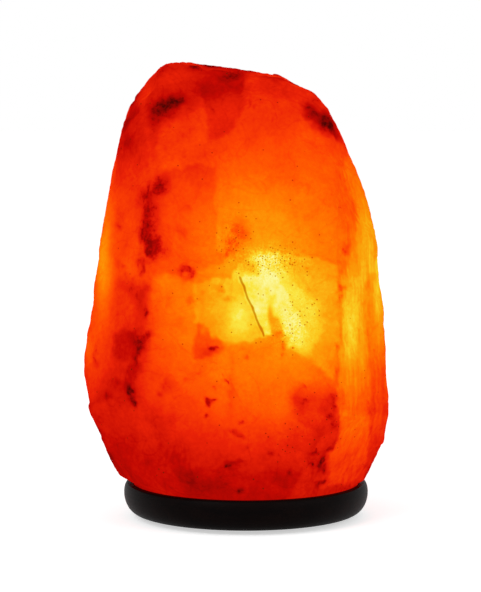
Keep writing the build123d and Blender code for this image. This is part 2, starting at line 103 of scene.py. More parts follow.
# White paper all round: the eye, mirrors and glass see it white, and it lights the object more gently.
ROOM_LIGHT = 0.55
room = bpy.data.worlds.new("studio")
room.use_nodes = True
tree = room.node_tree
tree.nodes.clear()
strength = add(tree, "MapRange", {"Value": looked_at(tree), "To Min": ROOM_LIGHT, "To Max": 1.0})
paper = add(tree, "Background", {"Color": colour("#FFFFFF"), "Strength": strength})
add(tree, "OutputWorld", {"Surface": paper})
studio.world = room

# Soft boxes, a metre or so away, the strongest one high on the left: (name, power in watts, place).
LAMP_MIDDLE = np.array([0, 0, 0.11])
BOX_SIZE = 0.9
for name, power, place in (
    ("key_box", 9.0, (-0.9, -1.1, 1.2)),
    ("fill_box", 4.0, (1.2, -0.8, 0.7)),
    ("back_box", 2.0, (0.2, 1.4, 0.9)),
):
    box = bpy.data.lights.new(name, "AREA")
    box.shape, box.size, box.energy = "SQUARE", BOX_SIZE, power
    holder = bpy.data.objects.new(name, box)
    holder.location = place
    aim = LAMP_MIDDLE - np.array(place)
    holder.rotation_euler = (math.pi / 2 + math.atan2(aim[2], math.hypot(aim[0], aim[1])), 0,
                             math.atan2(aim[1], aim[0]) - math.pi / 2)
    studio.collection.objects.link(holder)

# The sheet of paper. It is clear from below, so that the lamp's underside can be looked at too.
PAPER_HALF, PAPER_LIFT = 4.0, 0.55
sheet = bpy.data.meshes.new("paper")
sheet.from_pydata([(PAPER_HALF * i, PAPER_HALF * j, 0) for i, j in ((-1, -1), (1, -1), (1, 1), (-1, 1))],
                  [], [(0, 1, 2, 3)])
floor = bpy.data.objects.new("paper", sheet)
studio.collection.objects.link(floor)
matt_paper, tree, _ = new_material("paper, matt white")
lift = add(tree, "Math", {0: looked_at(tree), 1: PAPER_LIFT}, operation="MULTIPLY")
body = add(tree, "BsdfDiffuse", {"Color": colour("#F2F2F2")})
glow = add(tree, "Emission", {"Color": colour("#FFFFFF"), "Strength": lift})
both = add(tree, "AddShader", {0: body, 1: glow})
side = add(tree, "NewGeometry")
clear = add(tree, "BsdfTransparent")
one_sided = add(tree, "MixShader", {0: side.outputs["Backfacing"], 1: both, 2: clear})
add(tree, "OutputMaterial", {"Surface": one_sided})
sheet.materials.append(matt_paper)

# ---- Wooden base -----------------------------------------------------------------------------------------
# A disc of hardwood turned on a lathe, with a full rounded edge and a shallow seat for the crystal. It is
# stained almost black and lacquered, so that the glow above it only just shows along its upper edge.
MM = 0.001


def dress(material, *names):
    """Gives CAD nodes a material."""
    for name in names:
        for slot in nodes[name].material_slots:
            slot.material = material


# Hardwood, stained and sprayed with satin lacquer: almost black, with a brown grain that shows only close
# to, and fine pores that the lacquer hasn't quite filled.
PORE_LENGTH, PORE_WIDTH = 9 * MM, 0.5 * MM
FIGURE_WIDTH = 5 * MM
FIGURE_LENGTH = FIGURE_WIDTH / 0.12
dark_wood, tree, place = new_material("hardwood, turned, stained and lacquered")
along_grain = add(tree, "Mapping", {
    "Vector": place, "Scale": (1 / PORE_LENGTH, 1 / PORE_WIDTH, 1 / PORE_WIDTH)})
pores = add(tree, "TexNoise", {"Vector": along_grain, "Scale": 1.0, "Detail": 3, "Roughness": 0.6})
wide = add(tree, "Mapping", {
    "Vector": place, "Scale": (1 / FIGURE_LENGTH, 1 / FIGURE_WIDTH, 1 / FIGURE_WIDTH)})
figure = add(tree, "TexNoise", {"Vector": wide, "Scale": 1.0, "Detail": 4, "Distortion": 0.6})
grain = add(tree, "Math", {0: figure, 1: pores}, operation="MULTIPLY")
stained = add(tree, "ValToRGB", {"Fac": grain})
stained.color_ramp.elements[0].position, stained.color_ramp.elements[0].color = 0.16, colour("#030101")
stained.color_ramp.elements[1].position, stained.color_ramp.elements[1].color = 0.42, colour("#0D0504")
sheen = add(tree, "MapRange", {"Value": pores, "To Min": 0.55, "To Max": 0.4})
pits = add(tree, "Bump", {"Strength": 0.25, "Distance": 0.1 * MM, "Height": pores})
surface = add(tree, "BsdfPrincipled", {
    "Base Color": stained, "Roughness": sheen, "Specular IOR Level": 0.03, "Normal": pits})
add(tree, "OutputMaterial", {"Surface": surface})
dress(dark_wood, "wood_base")

# ---- Feet and cord grommet -------------------------------------------------------------------------------
# Four round rubber pads, each held by a pan-head wood screw in a recess, keep the base off the table. A
# rubber sleeve with a flange lines the cord's hole at the back.

# Nitrile rubber, moulded: dull dark grey with the faint bloom and fine grain of the mould.
RUBBER_GRAIN, BLOOM = 0.4 * MM, 6 * MM
rubber, tree, place = new_material("nitrile rubber, moulded")
grain = add(tree, "TexNoise", {"Vector": place, "Scale": 1 / RUBBER_GRAIN, "Detail": 3})
bloom = add(tree, "TexNoise", {"Vector": place, "Scale": 1 / BLOOM, "Detail": 3})
dull = add(tree, "ValToRGB", {"Fac": bloom})
dull.color_ramp.elements[0].position, dull.color_ramp.elements[0].color = 0.3, colour("#1C1C1C")
dull.color_ramp.elements[1].position, dull.color_ramp.elements[1].color = 0.75, colour("#302F2E")
skin_bump = add(tree, "Bump", {"Strength": 0.4, "Distance": 0.05 * MM, "Height": grain})
surface = add(tree, "BsdfPrincipled", {"Base Color": dull, "Roughness": 0.8, "Specular IOR Level": 0.2,
                                       "Normal": skin_bump})
add(tree, "OutputMaterial", {"Surface": surface})
dress(rubber, "rubber_feet", "cord_grommet")

# Steel, cold headed and zinc plated: bright bluish grey, a little cloudy, with fine turning lines.
zinc, tree, place = new_material("steel, cold headed, zinc plated")
cloudy = add(tree, "TexNoise", {"Vector": place, "Scale": 1 / (1.5 * MM), "Detail": 4})
plated = add(tree, "ValToRGB", {"Fac": cloudy})
plated.color_ramp.elements[0].position, plated.color_ramp.elements[0].color = 0.3, colour("#A7AAAE")
plated.color_ramp.elements[1].position, plated.color_ramp.elements[1].color = 0.7, colour("#C9CCCF")
sheen = add(tree, "MapRange", {"Value": cloudy, "To Min": 0.22, "To Max": 0.42})
surface = add(tree, "BsdfPrincipled", {"Base Color": plated, "Metallic": 1.0, "Roughness": sheen})
add(tree, "OutputMaterial", {"Surface": surface})
dress(zinc, "foot_screws", "crystal_screws", "core_screws", "clip_rivets")

# ---- Salt crystal ----------------------------------------------------------------------------------------
# A lump of rock salt split from its seam, dressed with a chisel and washed smooth, with a round foot that
# drops into the base's seat and a bore drilled up for the bulb. Three screws from below hold it.

# Its sizes are in mm, x and y from the lamp's axis and z from the table.
BASE_TOP = 20.5
base_low, base_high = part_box("wood_base")
lamp_at = np.array([(base_low.x + base_high.x) / 2, 0, base_high.z - BASE_TOP * MM])
HEART = np.array([-4.0, 0.0, 118.0])      # the point that every face's distance is measured from
SEAT_Z, SEAT_R, BORE_R, BORE_TOP = 17.5, 57.2, 25.0, 136.0
# The crystal's silhouettes from the front, as (x, z), and from the right-hand side, as (y, z).
FRONT_OUTLINE = [
    (58, 17.5), (61.5, 25), (66.5, 33), (70, 45), (72.3, 60), (72.3, 80), (70.8, 98), (67.8, 126),
    (66, 150), (58, 176), (51, 191.5), (42.3, 211), (34.5, 219), (13, 230.3), (-26, 234.4), (-36.5, 235.8),
    (-43.5, 232.5), (-54.2, 221.5), (-60.5, 210.5), (-66, 190), (-74.6, 137), (-81.8, 90), (-81.9, 80),
    (-78.6, 60), (-71, 41), (-65, 27), (-58, 17.5),
]
SIDE_OUTLINE = [
    (56, 17.5), (60, 36), (63, 70), (62, 115), (54, 172), (38, 215), (18, 233), (-8, 235.8), (-30, 216),
    (-48, 174), (-58, 128), (-63, 78), (-62, 40), (-57, 17.5),
]
# Cleavage faces: azimuth from the front towards the right, elevation, both in degrees, and distance.
CLEAVAGE = [
    (2, -9, 72), (-4, -1, 62.5), (7, 7, 59), (-17, 16, 66), (-10, 36, 79.5), (24, 30, 78),
    (49, 4.7, 72.7), (62, 21, 79), (44, -24, 93), (123, 3, 76), (138, 24, 80), (132, -22, 92),
    (-50, 10.3, 69.5), (-38, -16, 87), (-62, 30, 91), (-128, 5, 75), (-140, 27, 84), (-130, -21, 91),
    (176, -7, 71), (188, 3, 61), (166, 12, 62), (200, 20, 70), (172, 38, 80), (180, -28, 92),
]
# Flake scars, spread over the lump on a spiral of golden angles. Each is the shallow bite of a large ball.
SCARS, GOLDEN_ANGLE = 60, 137.508
SCAR_SINES = (-0.78, 0.92)                # of the elevations at which the spiral begins and ends
SCAR_R, SCAR_R_SWING, SCAR_DEPTH, SCAR_DEPTH_SWING = 50, 20, 0.9, 0.5
SCAR_RIM, SCAR_TONE = 0.3, 0.5            # how far a scar's edge is rounded, and how its tone differs
# The foot is chipped round, then runs out to the crystal's full width: the widest radius at each height.
FOOT_Z, FOOT_R = [17.5, 20.9, 26.0, 60.0, 240.0], [57.2, 57.4, 66.0, 90.0, 100.0]
COLUMNS, ROWS, FRONT_CROWDING = 330, 280, 0.42
EDGE_SHARPNESS, LEAN_SHARPNESS = 300, 45  # powers: the higher, the less an edge is rounded
FACE_AWAY = 60.0                          # about how far the faces are, which keeps the powers within range
chance = np.random.default_rng(11)


def pointing(azimuth, elevation):
    """Unit vectors from angles in radians, azimuth counted from the front towards the right."""
    flat = np.cos(elevation)
    return np.stack([flat * np.sin(azimuth), -flat * np.cos(azimuth), np.sin(elevation)], axis=-1)


def unit(vectors):
    """Each vector divided by its length."""
    return vectors / np.linalg.norm(vectors, axis=-1, keepdims=True)


def outline_faces(outline, across):
    """One face through each edge of an outline: its normal is the edge turned a quarter turn outwards."""
    ends = np.array(outline, float)
    edges = np.roll(ends, -1, axis=0) - ends
    normals = np.zeros((len(ends), 3))
    normals[:, across], normals[:, 2] = edges[:, 1], -edges[:, 0]
    normals = unit(normals)
    spots = np.zeros((len(ends), 3))
    spots[:, across], spots[:, 2] = ends[:, 0], ends[:, 1]
    return normals, ((spots - HEART) * normals).sum(axis=1)


def meet(rays_out, sharpness):
    """Where rays from the heart meet the faces. Each face's nearness along a ray is raised to a power and
    summed, so that the nearest face wins and edges come out a little rounded. Also each face's share."""
    nearness = np.maximum(rays_out @ (normals * FACE_AWAY / distances[:, None]).T, 0.0) ** sharpness
    total = nearness.sum(axis=1)
    return FACE_AWAY * total ** (-1.0 / sharpness), nearness / total[:, None]


def waves(points, length, count=14):
    """Smooth random relief of about unit size: the sum of sine waves near one length, each in a random
    direction."""
    along = unit(chance.normal(size=(count, 3)))
    along *= 2 * np.pi / (length * chance.uniform(0.7, 1.4, (count, 1)))
    return np.sin(points @ along.T + chance.uniform(0, 2 * np.pi, count)).sum(axis=1) * math.sqrt(2 / count)


def ease(value):
    """0 below 0, 1 above 1, and a smooth S between."""
    t = np.clip(value, 0, 1)
    return t * t * (3 - 2 * t)


cleft = np.array(CLEAVAGE, float)
faces_made = [outline_faces(FRONT_OUTLINE, 0), outline_faces(SIDE_OUTLINE, 1),
              (pointing(np.radians(cleft[:, 0]), np.radians(cleft[:, 1])), cleft[:, 2])]
normals = np.concatenate([n for n, d in faces_made])
distances = np.concatenate([d for n, d in faces_made])

# The grid: columns stand closer together at the front, and rows are evenly spaced down the surface, from the
# top to the rim of the foot. Under the rim it turns in to the bore, up the bore and across its flat end.
turn = np.arange(COLUMNS) * 2 * np.pi / COLUMNS
azimuth = turn - FRONT_CROWDING * np.sin(turn)
heading = pointing(azimuth, 0 * azimuth)
# how far the seat's circle lies from the heart's own axis in each direction
offset = heading[:, :2] @ -HEART[:2]
rim_reach = offset + np.sqrt(offset ** 2 + SEAT_R ** 2 - HEART[:2] @ HEART[:2])
rim_fall = np.arctan2(HEART[2] - SEAT_Z, rim_reach) + math.pi / 2
# the way down the surface, measured in 400 steps on every tenth column and averaged
fall = np.linspace(0, 1, 400)
coarse = pointing(azimuth[::10, None], math.pi / 2 - fall * rim_fall[::10, None])
track = coarse * meet(coarse.reshape(-1, 3), EDGE_SHARPNESS)[0].reshape(coarse.shape[:2])[..., None]
run = np.linalg.norm(np.diff(track, axis=1), axis=2).mean(axis=0)
run = np.concatenate([[0], np.cumsum(run)]) / run.sum()
row_fall = np.interp(np.linspace(0, 1, ROWS + 1)[1:], run, fall)
rays_out = pointing(azimuth[None, :], math.pi / 2 - row_fall[:, None] * rim_fall[None, :]).reshape(-1, 3)
rays_out = np.concatenate([[[0, 0, 1.0]], rays_out])
reach, share = meet(rays_out, EDGE_SHARPNESS)
# each face is a little lighter or darker; edge is 0 on a face and grows where several faces meet
tone = share @ chance.uniform(-1, 1, len(normals))
lean = meet(rays_out, LEAN_SHARPNESS)[1] @ normals
edge = 1 - np.linalg.norm(lean, axis=1)
lean = unit(lean)

# Each scar: a ray from the heart meets a face, and the ball stands over that face there, sunk in a little.
# The grid's rays stop where they enter the ball, and each scar has a tone of its own.
low, high = SCAR_SINES
for i in range(SCARS):
    ray = pointing(math.radians(GOLDEN_ANGLE * i), math.asin(low + (high - low) * (i + 0.5) / SCARS))
    nearness = normals @ ray / distances
    nearest = nearness.argmax()
    radius = SCAR_R + SCAR_R_SWING * math.sin(3.1 * i)
    depth = SCAR_DEPTH + SCAR_DEPTH_SWING * math.sin(2.3 * i)
    ball = ray / nearness[nearest] + normals[nearest] * (radius - depth)
    along = rays_out @ ball
    half_chord = along ** 2 - ball @ ball + radius ** 2
    enter = along - np.sqrt(np.maximum(half_chord, 0))
    met = (half_chord > 0) & (along > 0)
    blend = np.clip((reach - enter) / SCAR_RIM / 2 + 0.5, 0, 1) * met
    tone += SCAR_TONE * math.sin(4.7 * i) * ease(blend)
    reach = reach + (enter - reach) * blend - SCAR_RIM * blend * (1 - blend)

# Washing has taken off about half a millimetre and left the faces a little wavy.
WASHED_OFF = 0.55
skin = HEART + rays_out * reach[:, None]
relief = 0.3 * waves(skin, 34) + 0.15 * waves(skin, 13) - WASHED_OFF
skin += rays_out * relief[:, None]

# Edges are bruised: each bruise is a small plane, laid a little under the edge at one spot, and whatever
# stands proud of it nearby is cut back to it, by BRUISE_CUT at most. It is full up to a share of its width
# and then fades out, and its tone differs where it cuts by more than BRUISE_SHOWS.
BRUISES, BRUISE_TILT, BRUISE_DEPTH, BRUISE_WIDTH, BRUISE_FULL = 420, 0.16, 0.8, 9, 0.6
BRUISE_CUT, BRUISE_SHOWS, BRUISE_TONE = 1.2, 0.25, 0.5
SHARP_ENOUGH = 0.02
chosen = chance.choice(np.flatnonzero(edge > SHARP_ENOUGH), BRUISES)
cuts = unit(lean[chosen] + BRUISE_TILT * chance.normal(size=(BRUISES, 3)))
for spot, cut, depth, size, tint in zip(
        skin[chosen], cuts, BRUISE_DEPTH * chance.uniform(0.2, 1, BRUISES),
        BRUISE_WIDTH * chance.uniform(0.35, 1, BRUISES), chance.uniform(-1, 1, BRUISES)):
    away = np.linalg.norm(skin - spot, axis=1) / size
    hit = np.flatnonzero(away < 1)
    proud = np.maximum((skin[hit] - spot) @ cut + depth, 0)
    proud *= 1 - ease((away[hit] - BRUISE_FULL) / (1 - BRUISE_FULL))
    skin[hit] -= cut * np.minimum(proud, BRUISE_CUT)[:, None]
    tone[hit] += BRUISE_TONE * tint * ease(proud / BRUISE_SHOWS)

# Fine waves, and then the foot: nothing stands out past its chipped outline or below the seat.
relief = 0.10 * waves(skin, 5) + 0.06 * waves(skin, 2.6)
skin += rays_out * relief[:, None]
spread = np.hypot(skin[:, 0], skin[:, 1])
limit = np.interp(skin[:, 2], FOOT_Z, FOOT_R)
skin[:, :2] *= np.minimum(1, limit / np.maximum(spread, 1e-6))[:, None]
skin[:, 2] = np.maximum(skin[:, 2], SEAT_Z)
skin[-COLUMNS:, 2] = SEAT_Z

# The rings of the underside, of the bore's wall and of its flat end.
UNDER_RINGS, WALL_RINGS, END_RINGS = 6, 12, 6
rim = skin[-COLUMNS:]
bore_ring = np.stack([BORE_R * np.sin(azimuth), -BORE_R * np.cos(azimuth), np.full(COLUMNS, SEAT_Z)], axis=1)
inner = [rim + (bore_ring - rim) * part for part in np.linspace(0, 1, UNDER_RINGS)[1:]]
inner += [bore_ring + (0, 0, rise) for rise in np.linspace(0, BORE_TOP - SEAT_Z, WALL_RINGS)[1:]]
inner += [inner[-1] * (part, part, 1) for part in np.linspace(1, 0, END_RINGS)[1:-1]]
points = np.concatenate([skin, *inner, [[0, 0, BORE_TOP]]])

# Four-sided faces between the rings, and fans of three-sided ones at the crystal's top and the bore's end.
rings = ROWS + len(inner)
first = 1 + np.arange(rings - 1)[:, None] * COLUMNS
column = np.arange(COLUMNS)
following = (column + 1) % COLUMNS
quads = np.stack([first + column, first + COLUMNS + column, first + COLUMNS + following, first + following],
                 axis=-1).reshape(-1, 4)
last = len(points) - 1
low_ring = 1 + (rings - 1) * COLUMNS
cap = [(0, 1 + int(a), 1 + int(b)) for a, b in zip(column, following)]
end = [(last, low_ring + int(b), low_ring + int(a)) for a, b in zip(column, following)]
lump = bpy.data.meshes.new("salt_crystal_lit")
lump.from_pydata((points * MM + lamp_at).tolist(), [], cap + quads.tolist() + end)
lump.polygons.foreach_set("use_smooth", np.ones(len(lump.polygons), bool))
crystal = bpy.data.objects.new("salt_crystal_lit", lump)
studio.collection.objects.link(crystal)

# How the light comes through, as a level from 0 to 1. It falls off with the distance from the glow, which
# fills the chamber, and is dimmer at the foot, where the lampholder stands in its way.
GLOW_X, GLOW_Y, GLOW_LOW, GLOW_HIGH = 8.0, -5.0, 96.0, 129.0
FAR_LEVEL, NEAR_GAIN, NEAR, FADES_OVER = 0.10, 0.62, 52, 50
FOOT_LOSS, FOOT_FROM, FOOT_OVER, FACE_SWING = 0.14, 95, 60, 0.032
x, y, z = skin.T
far = np.sqrt((x - GLOW_X) ** 2 + (y - GLOW_Y) ** 2 + (z - np.clip(z, GLOW_LOW, GLOW_HIGH)) ** 2)
level = FAR_LEVEL + NEAR_GAIN * np.exp(-(far - NEAR) / FADES_OVER) + FACE_SWING * tone
level -= FOOT_LOSS * ease((FOOT_FROM - z) / FOOT_OVER)
# 1 on the front and 0 on the back, then places seen from the front, and the same with a random shift, which
# makes the outlines below come out ragged
FRONT_FROM, FRONT_OVER = 8, 16
front = ease((-y - FRONT_FROM) / FRONT_OVER)
warp = np.stack([0.5 * waves(skin, 9) + 0.3 * waves(skin, 3.5) for _ in range(2)], axis=1)
flat_place = np.stack([x, z], axis=1)
wander = flat_place + warp


def depth_in(places, corners):
    """How deep each place lies inside a closed outline, in mm, negative outside: the distance to the nearest
    edge, signed by counting the edges crossed on the way out."""
    a = np.array(corners, float)
    b = np.roll(a, -1, axis=0)
    along = b - a
    gap = places[:, None, :] - a
    part = np.clip((gap * along).sum(axis=2) / (along * along).sum(axis=1), 0, 1)
    nearest = np.linalg.norm(gap - part[..., None] * along, axis=2).min(axis=1)
    straddles = (a[:, 1] > places[:, None, 1]) != (b[:, 1] > places[:, None, 1])
    rise = np.where(along[:, 1], along[:, 1], 1e-9)
    crossing = a[:, 0] + gap[..., 1] * along[:, 0] / rise
    inside = (straddles & (places[:, None, 0] < crossing)).sum(axis=1) % 2 == 1
    return np.where(inside, nearest, -nearest)


# Clean salt, cracked planes and clay change the level from place to place. Those on the front are given as
# seen from there, in mm: (change of level, how soft its edge is, outline as (x, z) corners).
PATCHES = [
    # the thick, dark corner at the top left, and the step in the dull face beside it
    (-0.10, 5, [(-45, 232), (-44, 222), (-47, 212), (-46, 205), (-36, 208), (-28, 213), (-10, 219), (0, 224),
                (6, 232), (0, 240), (-40, 240)]),
    (-0.08, 1.6, [(-1, 232), (-1, 214), (-3, 208), (-5, 203), (-9, 200), (-13, 197), (-19, 198), (-20, 210),
                  (-24, 222), (-24, 232)]),
    # the duller face left of the cleaner salt over the bulb
    (-0.08, 1.3, [(-15, 185), (-15, 165), (-14, 146), (-10, 138), (-26, 134), (-46, 132), (-52, 150),
                  (-48, 172), (-40, 182), (-26, 186)]),
    # the bruised strip under the top right edge
    (-0.14, 2.5, [(29, 215), (35, 213), (42, 209), (47, 201), (47, 196), (41, 199), (36, 203), (29, 209)]),
    # the clear field in front of the bulb, with its broken lower edge, and the duller salt left of it
    (0.10, 1.2, [(-26, 128), (-22, 129), (-8, 131), (-4, 137), (2, 141), (12, 143), (30, 141), (45.5, 137),
                 (45.5, 92), (42, 80), (40, 82), (34, 88), (27, 93), (21, 96), (19, 100), (16, 104), (8, 102),
                 (0, 99), (-10, 98), (-16, 103), (-22, 108), (-26, 109)]),
    (0.07, 4, [(-43, 129), (-36, 130), (-25, 128), (-25, 109), (-40, 110), (-44, 113)]),
    (0.04, 4, [(-20, 128), (-8, 129), (-6, 139), (-2, 147), (12, 146), (30, 141), (42, 128), (40, 100),
               (30, 94), (20, 97), (16, 103), (-8, 98), (-12, 104), (-18, 112)]),
    # the brightest panes in it, right of the crack: a narrow one, a broad one with a strip along its left
    # edge, and the dull wedge between them
    (0.10, 0.9, [(-3.4, 131), (0, 132.5), (6, 132), (9, 127), (11, 120), (10, 112), (11.5, 106), (10, 103),
                 (8, 102)]),
    (0.08, 3, [(2, 144), (9, 142), (16.6, 139.5), (22, 133), (25.7, 128), (31, 122), (36, 117), (36, 107),
               (35, 99), (31.5, 94), (26, 95), (21, 98), (17.8, 105), (14, 114), (9.8, 124.6), (6.4, 131.5),
               (4, 137)]),
    (0.045, 1, [(6.4, 132.5), (9.8, 124.6), (14, 114), (17.8, 105), (21.2, 98.5), (29, 97), (29, 106),
                (22, 119), (15, 131), (9, 137)]),
    (-0.06, 1.2, [(10.5, 117), (14, 111), (18, 105), (17, 101), (12, 102.5), (10.5, 108)]),
    # clay-stained salt down the left-hand edge, and a corner of it under the clear field
    (-0.06, 3, [(-66, 128), (-60, 131), (-48, 127), (-47, 110), (-47, 97), (-50, 86), (-56, 80), (-66, 84)]),
    (-0.09, 1.2, [(-66, 99), (-63, 103), (-60, 105.5), (-57, 102), (-53.5, 106), (-53, 90), (-66, 89)]),
    (-0.12, 1.6, [(-24.5, 109), (-22, 104), (-17, 103), (-13, 100.5), (-9, 98.5), (-12, 94), (-18, 91.5),
                  (-26, 91.5)]),
    # duller salt left of the right-hand ridge, low down, and along the foot
    (-0.06, 2.5, [(45.6, 77), (45.6, 50), (45, 46), (41, 43), (38, 34), (33, 28), (30, 40), (33, 55),
                  (24, 62), (22, 76), (30, 79)]),
    (-0.02, 2.5, [(-34, 37), (-27, 31), (-25, 22), (14, 22), (24, 24), (26, 33), (14, 36), (0, 35),
                  (-20, 36)]),
    # the bright strip of the right-hand side above the band
    (0.08, 1.5, [(47.6, 129.7), (51, 140), (54.9, 151), (55.6, 161), (52, 170), (49.2, 177), (46, 183),
                 (60, 190), (75, 160), (75, 129.7)]),
    # the band right of the ridge, thin and bright
    (0.09, 1.2, [(46.6, 128), (47.4, 112), (46.4, 98), (45.6, 88), (45.2, 70), (45.2, 50), (44, 45.5),
                 (41, 42), (42, 33), (39, 24), (60, 24), (62, 60), (60, 100), (60, 129.7), (47.6, 129.7)]),
]
# The back has its own: broad clouds, and a brighter field behind the bulb.
level += (1 - front) * (0.05 * waves(skin, 45) + 0.03 * waves(skin, 16))
level += 0.10 * (1 - front) * np.exp(-((x - 6) / 34) ** 2 - ((z - 112) / 26) ** 2)
for change, soft, corners in PATCHES:
    level += change * front * ease(depth_in(wander, corners) / soft * 0.5 + 0.5)

# Soft bright and dull spots on the front: (x, z, half width, half height, change of level).
for spot_x, spot_z, wide, high, change in (
    (-4, 112, 6, 8, 0.14), (2, 103, 10, 6, 0.03), (52, 106, 6, 24, 0.19), (52, 62, 6, 24, 0.02),
    (-30, 103, 12, 6, 0.08), (-72, 140, 5, 32, 0.30), (-71, 168, 5, 14, 0.12), (-79, 88, 5, 22, 0.14),
    (-60, 72, 10, 14, -0.08), (60, 150, 5, 22, 0.12), (66, 118, 4, 22, 0.25), (-60, 200, 8, 16, -0.05),
    (24, 137, 12, 4, -0.07), (1, 136, 5, 3, -0.12), (26, 130, 8, 4, -0.04),
):
    level += change * front * np.exp(-((x - spot_x) / wide) ** 2 - ((z - spot_z) / high) ** 2)

